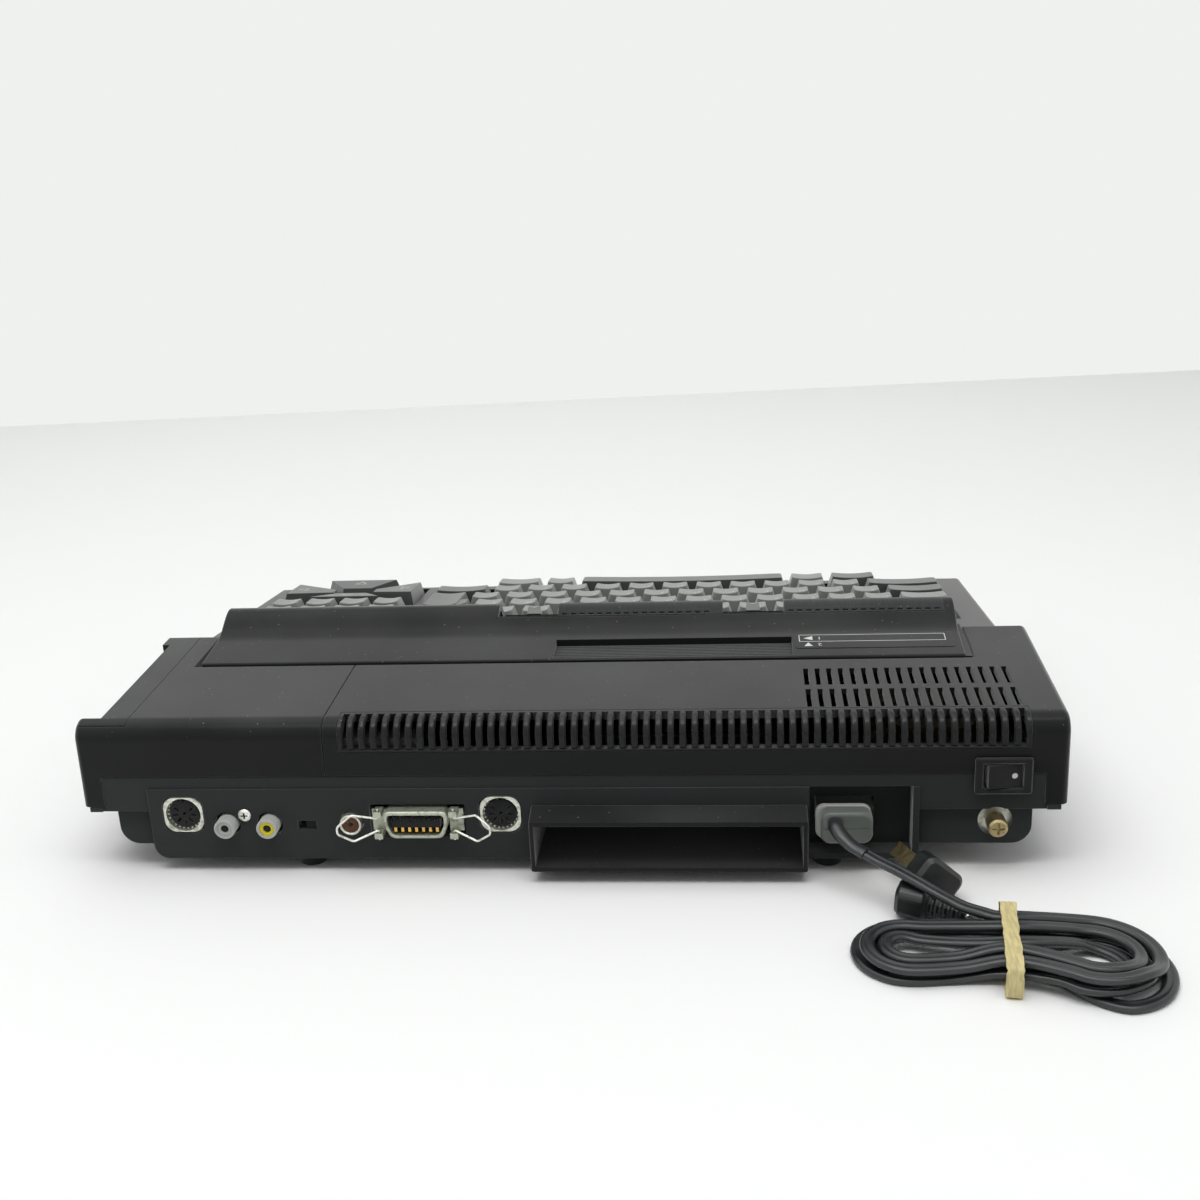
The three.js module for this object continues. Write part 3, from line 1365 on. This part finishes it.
addPart(computer, 'printer_bail_left', bail(-1), 'steel',
  [printerX - earSpan, rearY + earProud, printerHeight]);

// Mains inlet on the floor of its bay
function mainsInlet() {
  const flange = prismY(roundedRect(inletWidth, inletTall, inletRadius, inletX, inletHeight),
    atDepth(bayDepth - seam), atDepth(bayDepth - seam - inletFlange), 3);
  const body = slab(inletX - inletBodyWidth / 2, inletX + inletBodyWidth / 2, bayDepth - seam,
    bayDepth + inletBodyDepth, inletHeight - inletBodyTall / 2, inletHeight + inletBodyTall / 2);
  return flange.add(body);
}
addPart(computer, 'mains_inlet', mainsInlet(), 'inletPale');

// Earth terminal: a slotted thumb screw with the plate that clamps it behind the tray's wall
function earthTerminal() {
  const plate = traySetback + wall + seam + earthPlateThickness;
  const headBack = plate - earthHeadSink;
  const profile = [
    [0, 0], [earthPlateRadius, 0], [earthPlateRadius, earthPlateThickness],
    [earthNeckRadius, earthPlateThickness], [earthNeckRadius, headBack],
    [earthHeadRadius, headBack], [earthHeadRadius, plate + earthProud - earthChamfer],
    [earthHeadRadius - earthChamfer, plate + earthProud], [0, plate + earthProud],
  ].map(([r, h]) => new THREE.Vector2(r, h));
  const screw = new THREE.LatheGeometry(profile, 14);
  screw.translate(0, atDepth(plate), 0);
  return solidOf(screw);
}
addPart(computer, 'earth_terminal', earthTerminal(), 'brass', [earthX, 0, earthHeight]);

// Power switch: framed body through the tail wall, with a rocker that tips from side to side
function switchBody() {
  const frame = block(-switchWidth / 2, switchWidth / 2, rearY + seam, rearY + switchFrameProud,
    -switchTall / 2, switchTall / 2);
  const body = block(-switchWidth / 2 + wall + seam, switchWidth / 2 - wall - seam,
    atDepth(switchBodyDepth), rearY + switchFrameProud / 2, -switchTall / 2 + wall + seam,
    switchTall / 2 - wall - seam);
  const well = block(-rockerWidth / 2 - seam, rockerWidth / 2 + seam,
    atDepth(switchBodyDepth * switchWellShare), rearY + overrun, -rockerTall / 2 - seam, rockerTall / 2 + seam);
  return frame.add(body).subtract(well);
}
addPart(computer, 'power_switch', switchBody(), 'contactBlack', [switchX, 0, switchHeight]);

function rocker() {
  const half = rockerWidth / 2 - seam;
  const tall = rockerTall / 2;
  const lift = rockerPivotDepth + rockerProud;
  const tip = Math.tan(rockerThrow) * half;
  const [pressedEnd, proudEnd] = rockerEndShares.map((share) => half * share);
  const face = polygon([
    [-pressedEnd, lift - tip - rockerEndDrop], [-pressedEnd, -lift / 3], [-half / 3, -lift],
    [half / 3, -lift], [pressedEnd, -lift / 3], [proudEnd, lift + tip - rockerEndDrop],
    [half / 9, lift - rockerDip],
  ]);
  const geometry = new THREE.ExtrudeGeometry(face, { depth: rockerTall, bevelEnabled: false });
  geometry.translate(0, 0, -tall);
  return solidOf(geometry);
}
addPart(computer, 'power_rocker', rocker(), 'keyDark', [switchX, atDepth(rockerPivotDepth), switchHeight]);

// Power transformer: laminated core with its bobbin, on the tray's floor
function transformer() {
  const halfW = transformerWidth / 2;
  const halfL = transformerLength / 2;
  const core = block(-halfW, halfW, -halfL / 2, halfL / 2, 0, transformerHeight);
  const coil = prismZ(roundedRect(transformerWidth * coilWidthShare, transformerLength, coilBulge, 0, 0),
    transformerHeight * coilEndShare, transformerHeight * (1 - coilEndShare), 3);
  return core.add(coil);
}
addPart(computer, 'power_transformer', transformer(), 'wound',
  [transformerX, atDepth(transformerDepth), trayBottom + wall + seam]);

// Power board with its finned heat sink
function powerBoard() {
  const plate = slab(powerBoardLeft, powerBoardRight, powerBoardRear, powerBoardFront, boardBottom, boardTop);
  const fins = [];
  for (let i = 0; i < finCount; i += 1) {
    const x = powerBoardLeft + finPitch * (i + 1);
    fins.push(slab(x, x + finThickness, powerBoardRear + finPitch, powerBoardFront - finPitch,
      boardBottom + boardThickness / 2, boardTop + finHeight));
  }
  const spine = slab(powerBoardLeft + finPitch, powerBoardLeft + finPitch * finCount + finThickness,
    powerBoardRear + 2 * finPitch, powerBoardRear + 2 * finPitch + finThickness,
    boardBottom + boardThickness / 2, boardTop + finHeight);
  return joined([plate, spine, ...fins]);
}
addPart(computer, 'power_board', powerBoard(), 'board');

// Keycaps. A cap tapers from its skirt to a smaller top that is dished across its width.
function keycap(width, depth, reach = plateDrop + plateThickness / 2, top = keyTop) {
  const halfW = width / 2;
  const halfD = depth / 2;
  const topW = halfW - keySideTaper;
  const front = keyFrontTaper - halfD;
  const back = halfD - keyBackTaper;
  const corners = [
    [-halfW, -halfD, -keySkirt], [halfW, -halfD, -keySkirt], [halfW, halfD, -keySkirt],
    [-halfW, halfD, -keySkirt],
  ];
  const positions = [...corners];
  for (const v of [front, back]) {
    for (let i = 0; i <= keyDishSteps; i += 1) {
      const across = (2 * i) / keyDishSteps - 1;
      positions.push([topW * across, v, top - keyDish * (1 - across * across)]);
    }
  }
  const f = 4;
  const b = f + keyDishSteps + 1;
  const index = [0, 2, 1, 0, 3, 2];
  for (let i = 0; i < keyDishSteps; i += 1) {
    index.push(f + i, f + i + 1, b + i + 1, f + i, b + i + 1, b + i);
    index.push(0, f + i + 1, f + i);
    index.push(2, b + i, b + i + 1);
  }
  index.push(0, 1, b - 1);
  index.push(2, 3, b);
  index.push(1, 2, b + keyDishSteps, 1, b + keyDishSteps, b - 1);
  index.push(3, 0, f, 3, f, b);
  const geometry = new THREE.BufferGeometry();
  geometry.setAttribute('position', new THREE.BufferAttribute(new Float32Array(positions.flat()), 3));
  geometry.setIndex(index);
  const half = stemSize / 2;
  return solidOf(geometry).add(block(-half, half, -half, half, -reach, -keySkirt / 2));
}

// Rows of the main block: height up the slope in pitches, then each key's width in pitches
const rows = [
  {
    place: 3,
    startShare: 0,
    widthShares: Array(blockColumns).fill(1),
    moving: { 0: 'key_escape', 14: 'key_backspace' },
  },
  { place: 2, startShare: 0, widthShares: [1.5, ...Array(12).fill(1)], moving: {} },
  { place: 1, startShare: 0, widthShares: [1.75, ...Array(12).fill(1)], moving: { 0: 'key_control' } },
  {
    place: 0,
    startShare: 0,
    widthShares: [2.25, ...Array(11).fill(1), 1.75],
    moving: { 0: 'key_shift_left', 12: 'key_shift_right' },
  },
  {
    place: -1,
    startShare: 1.73,
    widthShares: [1.5, 1.2, 6.3, 1.05, 1.5],
    moving: { 0: 'key_caps', 2: 'key_space' },
  },
];
const fixedCaps = [];
const movingCaps = [];
function placeKey(name, x, v, width, depth) {
  if (name === 'fixed') fixedCaps.push([x, v, width, depth]);
  else movingCaps.push([name, x, v, width, depth]);
}
for (const row of rows) {
  let left = keyBlockLeft + row.startShare * keyPitch;
  row.widthShares.forEach((share, i) => {
    const width = share * keyPitch;
    placeKey(row.moving[i] ?? 'fixed', left + width / 2, row.place * rowPitch, width - keyGap,
      rowPitch - keyGap);
    left += width;
  });
}
for (let i = 0; i < functionKeys; i += 1) {
  const wide = functionWidthShare * keyPitch;
  placeKey(`key_f${i + 1}`, keyBlockLeft + keyPitch + wide * (i + 0.5), functionRowV, wide - keyGap,
    functionKeyDepth);
  placeKey('fixed', keyBlockRight - keyPitch * (i + 1.5), functionRowV, keyPitch - keyGap, functionKeyDepth);
}
for (let column = 0; column < padKeys; column += 1) {
  for (let row = 0; row < padKeys; row += 1) {
    placeKey('fixed', padCentre + (column - 1.5) * keyPitch, padRowV + row * rowPitch,
      keyPitch - keyGap, rowPitch - keyGap);
  }
}

// Return key: two rows tall, wider in its upper row
function returnKey() {
  const returnOverhang = ((returnWidthShares[0] - returnWidthShares[1]) * keyPitch) / 2;
  const tall = keycap(returnWidthShares[0] * keyPitch - keyGap, 2 * rowPitch - keyGap, stemReach);
  const upper = keycap(returnWidthShares[1] * keyPitch - keyGap, rowPitch - keyGap, keySkirt);
  return tall.add(upper.translate([returnOverhang, rowPitch / 2, 0]));
}
const returnPlace = [keyBlockRight - (returnWidthShares[0] * keyPitch) / 2, 1.5 * rowPitch];
addPart(keyboard, 'key_return', returnKey(), 'keyDark', [...returnPlace, 0]);

for (const [name, x, v, width, depth] of movingCaps) {
  addPart(keyboard, name, keycap(width, depth, stemReach), 'keyDark', [x, v, 0]);
}

// Cursor keys: four wedges round a hub, each higher at its outer edge
function cursorKey(halfInner, halfOuter, inner, outer) {
  const ring = [
    [-halfInner, inner, 0], [halfInner, inner, 0], [halfOuter, outer, 1], [-halfOuter, outer, 1],
  ];
  const base = ring.map(([x, v]) => [x, v, -keySkirt]);
  const middle = (inner + outer) / 2;
  const top = ring.map(([x, v, edge]) => [
    x - Math.sign(x) * cursorTaper, v + Math.sign(middle - v) * cursorTaper,
    edge ? cursorOuterTop : cursorInnerTop,
  ]);
  const positions = [...base, ...top];
  const index = [0, 2, 1, 0, 3, 2, 4, 5, 6, 4, 6, 7];
  for (let i = 0; i < 4; i += 1) {
    const next = (i + 1) % 4;
    index.push(i, next, next + 4, i, next + 4, i + 4);
  }
  const geometry = new THREE.BufferGeometry();
  geometry.setAttribute('position', new THREE.BufferAttribute(new Float32Array(positions.flat()), 3));
  geometry.setIndex(index);
  const half = stemSize / 2;
  return solidOf(geometry).add(block(-half, half, middle - half, middle + half, -stemReach, -keySkirt / 2));
}
const cursorCorner = [cursorHalfWidth - cursorSideNotch, cursorHalfDepth - cursorEndNotch];
const verticalKey = () => cursorKey(cursorHub + cursorHubMargin, cursorCorner[0] - cursorGap,
  cursorHub, cursorHalfDepth);
const horizontalKey = () => cursorKey(cursorHub, cursorCorner[1] - cursorGap,
  cursorHub + cursorHubMargin + cursorGap, cursorHalfWidth);
const cursorTurns = [
  ['key_cursor_up', verticalKey(), 0],
  ['key_cursor_left', horizontalKey(), 90],
  ['key_cursor_down', verticalKey(), 180],
  ['key_cursor_right', horizontalKey(), 270],
];
for (const [name, shape, turn] of cursorTurns) {
  const part = addPart(keyboard, name, shape, 'keyGrey', [padCentre, cursorV, 0]);
  part.rotation.z = THREE.MathUtils.degToRad(turn);
}

// Keyboard plate, with the keys that are carried on it
function keyboardPlate() {
  const plate = block(-plateHalfWidth, plateHalfWidth, plateFrontV, plateRearV,
    -plateDrop - plateThickness, -plateDrop);
  const caps = fixedCaps.map(([x, v, width, depth]) => keycap(width, depth).translate([x, v, 0]));
  const half = stemSize / 2 + seam;
  const hole = (x, v) => block(x - half, x + half, v - half, v + half,
    -plateDrop - overrun, overrun - plateDrop);
  const vertical = (cursorHub + cursorHalfDepth) / 2;
  const horizontal = (cursorHub + cursorHubMargin + cursorGap + cursorHalfWidth) / 2;
  const holes = [
    ...movingCaps.map(([, x, v]) => hole(x, v)),
    hole(...returnPlace),
    hole(padCentre, cursorV + vertical), hole(padCentre, cursorV - vertical),
    hole(padCentre + horizontal, cursorV), hole(padCentre - horizontal, cursorV),
  ];
  return joined([plate.subtract(joined(holes)), ...caps]);
}
addPart(keyboard, 'keyboard_plate', keyboardPlate(), 'keyGrey');

// Mains cord

// Connector that plugs into the inlet
const connectorRoot = atDepth(bayDepth - seam - inletFlange) + seam;
addPart(computer, 'cord_connector',
  prismY(roundedRect(connectorWidth, connectorTall, connectorRadius, inletX, inletHeight),
    connectorRoot, rearY + connectorProud, 4), 'connectorGrey');

function behindPanel([x, back, height]) {
  return new THREE.Vector3(x, rearY + back, height);
}

const cordSection = [
  [1, 0], [flatShare, 1], [-flatShare, 1], [-1, 0], [-flatShare, -1], [flatShare, -1],
].map(([u, v]) => [(u * cordWidth) / 2, (v * cordThickness) / 2]);

// Sleeve that guards the cord where it leaves the connector
const sleeveCurve = new THREE.CatmullRomCurve3(sleeveRoute.map(behindPanel));
const sleeveSection = (share) => ovalSection(
  THREE.MathUtils.lerp(sleeveRoot[0], sleeveTip[0], share),
  THREE.MathUtils.lerp(sleeveRoot[1], sleeveTip[1], share), 10);
addPart(computer, 'cord_sleeve', tubeThrough(sleeveCurve.getSpacedPoints(8), sleeveSection), 'cordGrey');

// Lead from the sleeve to the hank
const leadCurve = new THREE.CatmullRomCurve3(leadRoute.map(behindPanel));
const leadShares = [
  [-0.5, -0.25], [-0.36, -0.5], [0.36, -0.5], [0.5, -0.25],
  [0.5, 0.25], [0.36, 0.5], [-0.36, 0.5], [-0.5, 0.25],
];
const leadSection = polygon(leadShares.map(([u, v]) => [u * cordThickness, v * cordWidth]));
addPart(computer, 'cord_lead', new THREE.ExtrudeGeometry(leadSection, {
  steps: 12, extrudePath: leadCurve, bevelEnabled: false,
}), 'cordGrey');

// Hank. Its loops follow one outline, drawn in at the waist, made of a lobe at each end and a
// hollow arc on each side. Each loop lies one pitch inside the last.
function hankArcs() {
  const arcs = [];
  [-1, 1].forEach((side, i) => {
    const radius = hankLobes[i];
    const centre = hankHalfLengths[i] - radius;
    const hollow = (centre ** 2 + hankWaist ** 2 - radius ** 2) / (2 * (radius - hankWaist));
    const tilt = Math.atan2(centre, hankWaist + hollow);
    const start = side < 0 ? -Math.PI / 2 : Math.PI / 2;
    const into = {
      x: 0, y: -side * (hankWaist + hollow), radius: hollow, from: start, sweep: -tilt, grow: 1,
    };
    const lobe = {
      x: side * centre, y: 0, radius, from: start + Math.PI - tilt, sweep: Math.PI + 2 * tilt, grow: -1,
    };
    const out = {
      x: 0, y: side * (hankWaist + hollow), radius: hollow, from: -start + tilt, sweep: -tilt, grow: 1,
    };
    arcs.push([into, lobe, out]);
  });
  return arcs;
}
const outline = hankArcs();

function onOutline(turn, inset) {
  const share = turn - Math.floor(turn);
  const half = outline[share < 0.5 ? 0 : 1];
  const lengthOf = (arc) => arc.radius * Math.abs(arc.sweep) * (arc.grow > 0 ? waistShare : 1);
  const total = half.reduce((sum, arc) => sum + lengthOf(arc), 0);
  let run = (share < 0.5 ? share : share - 0.5) * 2 * total;
  for (const arc of half) {
    const length = lengthOf(arc);
    if (run <= length || arc === half[2]) {
      const angle = arc.from + arc.sweep * (run / length);
      const radius = arc.radius + arc.grow * inset;
      return [arc.x + radius * Math.cos(angle), arc.y + radius * Math.sin(angle)];
    }
    run -= length;
  }
  return null;
}

const tailCurve = new THREE.CatmullRomCurve3(tailRoute.map(behindPanel));
const tailPoints = tailCurve.getSpacedPoints(60);

function hankPoint(turn) {
  const half = hankLoops / 2;
  const inset = hankPitch * (turn < half ? turn : hankLoops - turn);
  const climb = THREE.MathUtils.smoothstep(turn, half - climbShare, half + climbShare);
  const [along, across] = onOutline(turn, inset);
  const angle = THREE.MathUtils.lerp(hankTurns[0], hankTurns[1], climb);
  const x = hankCentre[0] + along * Math.cos(angle) - across * Math.sin(angle);
  const y = rearY + hankCentre[1] + along * Math.sin(angle) + across * Math.cos(angle);
  const apart = Math.min(...tailPoints.map((point) => Math.hypot(point.x - x, point.y - y)));
  const crossing = turn < firstTurnShare ? 0 : 1 - THREE.MathUtils.smoothstep(apart, crossReach, crossFade);
  const tied = 1 - THREE.MathUtils.smoothstep(Math.abs(along), tieWidth, tieFade);
  const height = cordThickness / 2 + cordClearance + hankClimb * climb + crossLift * crossing + tieLift * tied;
  return new THREE.Vector3(x, y, height);
}

const loopPoints = [];
const hankEnd = hankLoops - hankEndShare;
const loopSteps = Math.round((hankEnd - hankStart) * hankSteps);
for (let i = 0; i <= loopSteps; i += 1) {
  loopPoints.push(hankPoint(hankStart + ((hankEnd - hankStart) * i) / loopSteps));
}
const entry = new THREE.CatmullRomCurve3([...tailRoute.map(behindPanel), ...loopPoints.slice(0, 3)]);
const entryPoints = entry.getSpacedPoints(20);
const exitRun = new THREE.CatmullRomCurve3([
  loopPoints[loopPoints.length - 3], loopPoints[loopPoints.length - 1], ...exitRoute.map(behindPanel),
]);
const hankPoints = [
  ...entryPoints,
  ...loopPoints.slice(3, -3),
  ...exitRun.getSpacedPoints(8),
];
addPart(computer, 'cord_hank', tubeThrough(hankPoints, () => cordSection), 'cordGrey');

// Least gap between one stretch of the hank's cord and another, on points along its middle. Each
// point looks square to its own run, across the cord's width and through its thickness.
function leastGap(points) {
  const fine = new THREE.CatmullRomCurve3(points).getSpacedPoints(points.length * gapSteps);
  const step = fine[0].distanceTo(fine[1]);
  const far = Math.round((4 * cordWidth) / step);
  let least = Infinity;
  for (let i = 1; i < fine.length - 1; i += 1) {
    const along = new THREE.Vector3().subVectors(fine[i + 1], fine[i - 1]).normalize();
    const across = new THREE.Vector3(along.y, -along.x, 0).normalize();
    const lift = new THREE.Vector3().crossVectors(across, along);
    for (let j = 0; j < fine.length; j += 1) {
      const apart = new THREE.Vector3().subVectors(fine[j], fine[i]);
      if (Math.abs(j - i) > far && Math.abs(apart.dot(along)) < step) {
        const level = Math.abs(apart.dot(across)) - cordWidth;
        const stacked = Math.abs(apart.dot(lift)) - cordThickness;
        least = Math.min(least, Math.max(level, stacked));
      }
    }
  }
  return [least, step * (fine.length - 1)];
}
const [hankGap, hankLength] = leastGap(hankPoints);
console.log(`hank: least gap ${hankGap.toFixed(3)} mm, cord ${hankLength.toFixed(0)} mm`);

// Band that ties the hank at its waist
function cordTie() {
  const near = hankWaist + cordWidth / 2 + tieClearance;
  const low = tieLift - tieClearance;
  const nearTop = cordThickness + hankClimb + crossLift + tieLift + 2 * tieClearance;
  const farTop = nearTop - tieFall;
  const ring = (grow) => {
    const corner = tieCorner + grow;
    return polygon([
      [-near - grow, low - grow + corner], [-near - grow + corner, low - grow],
      [near + grow - corner, low - grow], [near + grow, low - grow + corner],
      [near + grow, farTop + grow - corner], [near + grow - corner, farTop + grow],
      [-near - grow + corner, nearTop + grow], [-near - grow, nearTop + grow - corner],
    ]);
  };
  const band = prismX(ring(tieThickness), -tieWidth / 2, tieWidth / 2)
    .subtract(prismX(ring(0), -tieWidth, tieWidth));
  const turn = THREE.MathUtils.radToDeg((hankTurns[0] + hankTurns[1]) / 2);
  return band.rotate([0, 0, turn]).translate([hankCentre[0], rearY + hankCentre[1], 0]);
}
addPart(computer, 'cord_tie', cordTie(), 'bandBuff');

// Mains plug, leaning on the sill of the bay, with a heel from which its ribbed relief leaves
function rightAngled(place, aim, across) {
  const z = new THREE.Vector3(...aim).normalize();
  const x = new THREE.Vector3(...across).addScaledVector(z, -z.dot(new THREE.Vector3(...across))).normalize();
  const y = new THREE.Vector3().crossVectors(z, x);
  return new THREE.Matrix4().makeBasis(x, y, z).setPosition(behindPanel(place));
}

function reliefProfile() {
  const profile = [new THREE.Vector2(0, -reliefRootRadius)];
  const step = reliefLength / (2 * reliefRibs + 1);
  for (let i = 0; i <= 2 * reliefRibs + 1; i += 1) {
    const radius = THREE.MathUtils.lerp(reliefRootRadius, reliefTipRadius, i / (2 * reliefRibs + 1));
    const cut = i % 2 ? reliefGroove : 0;
    profile.push(new THREE.Vector2(radius - cut, i * step - step / 4));
    profile.push(new THREE.Vector2(radius - cut, i * step + step / 4));
  }
  profile.push(new THREE.Vector2(0, reliefLength + step / 4));
  return profile;
}

function mainsPlug() {
  const head = rightAngled(plugNose, plugAim, plugAcross);
  const inHead = (geometry) => solidOf(geometry.applyMatrix4(head));
  const options = {
    depth: plugLength - 2 * plugBevel, bevelEnabled: true, bevelThickness: plugBevel, bevelSize: plugBevel,
    bevelOffset: -plugBevel, bevelSegments: 1,
  };
  const shell = new THREE.ExtrudeGeometry(runsOf(roundedRect(plugWidth, plugTall, plugRadius), 3), options);
  shell.translate(0, 0, plugBevel - plugLength);
  const blades = [-1, 1].map((side) => {
    const blade = new THREE.BoxGeometry(bladeThickness, bladeWidth, bladeLength + plugBevel);
    blade.translate((side * bladeSpacing) / 2, 0, (bladeLength - plugBevel) / 2);
    return inHead(blade);
  });
  const heel = rightAngled(plugHeelPlace, plugHeelAim, [0, 0, 1]);
  const inHeel = (geometry) => solidOf(geometry.applyMatrix4(heel));
  const foot = new THREE.ExtrudeGeometry(runsOf(roundedRect(plugHeelTall, plugHeelWidth, plugRadius), 3), {
    ...options, depth: plugHeelLength - 2 * plugBevel,
  });
  foot.translate(0, 0, plugBevel - plugHeelLength / 2);
  const relief = new THREE.LatheGeometry(reliefProfile(), 8);
  relief.rotateX(Math.PI / 2);
  relief.translate(-reliefDrop, 0, plugHeelLength / 2);
  return joined([inHead(shell), ...blades, inHeel(foot), inHeel(relief)]);
}
addPart(computer, 'mains_plug', mainsPlug(), 'cordGrey');

export default computer;
